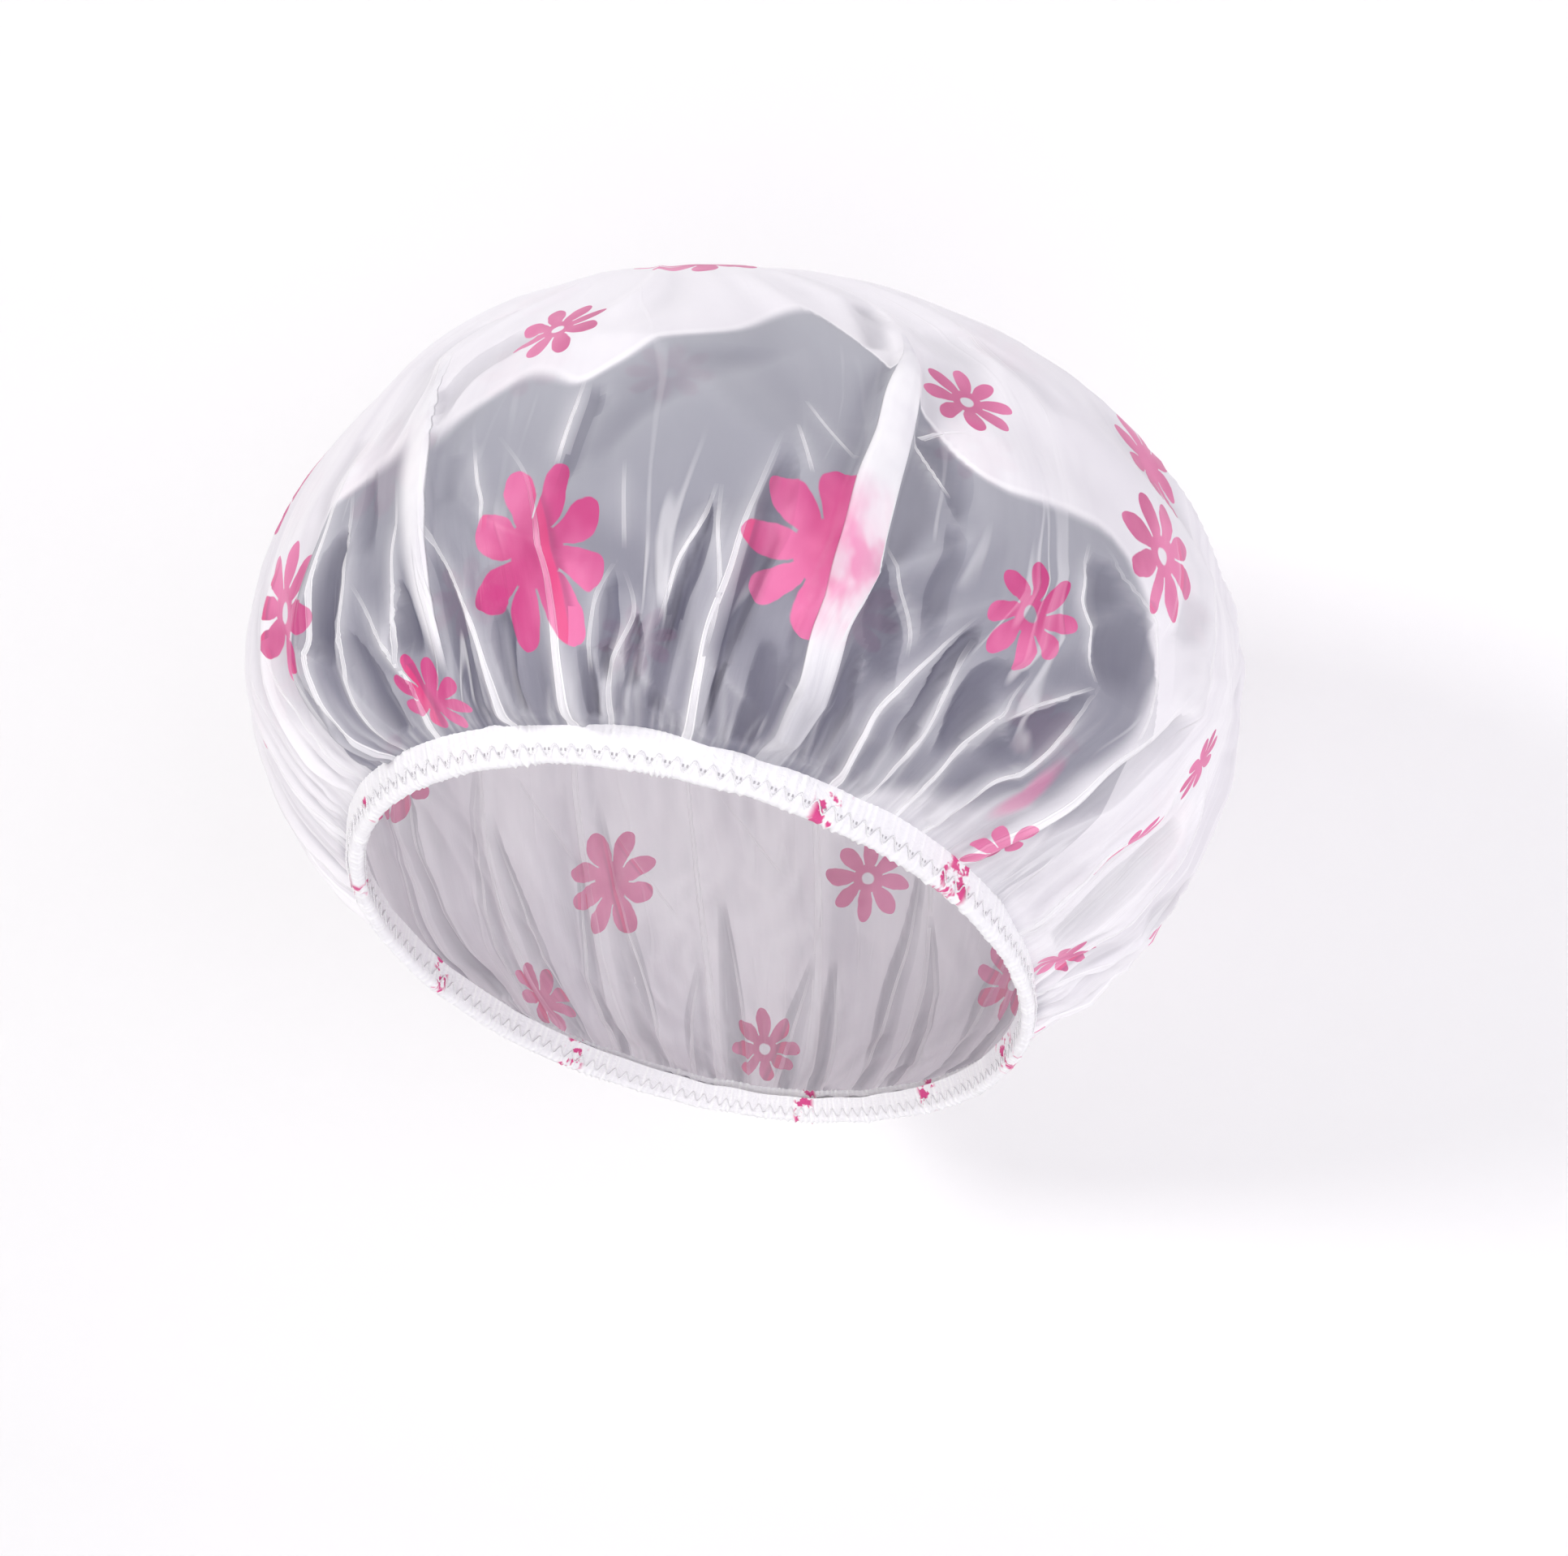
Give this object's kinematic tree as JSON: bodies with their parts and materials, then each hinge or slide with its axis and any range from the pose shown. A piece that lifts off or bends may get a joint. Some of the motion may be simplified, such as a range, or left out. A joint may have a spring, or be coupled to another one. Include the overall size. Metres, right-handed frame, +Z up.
{
  "type": "shower cap",
  "caption": "Soft gathered film shower cap, held in its worn dome shape, with a turned hem, a flat elastic loop inside it and a zigzag seam of two threads.",
  "frame": {"origin": "middle of the head opening, on the plane of the hem", "axes": "+Z up as worn, -Y towards the brow, +Y towards the nape, +X towards the wearer's left"},
  "size_m": [0.234, 0.257, 0.2257],
  "materials": {
    "film": "satin",
    "elastic": "matte",
    "thread": "satin"
  },
  "bodies": {
    "root": {"film_cap": "film", "elastic_band": "elastic", "needle_thread": "thread", "bobbin_thread": "thread"}
  },
  "joints": []
}
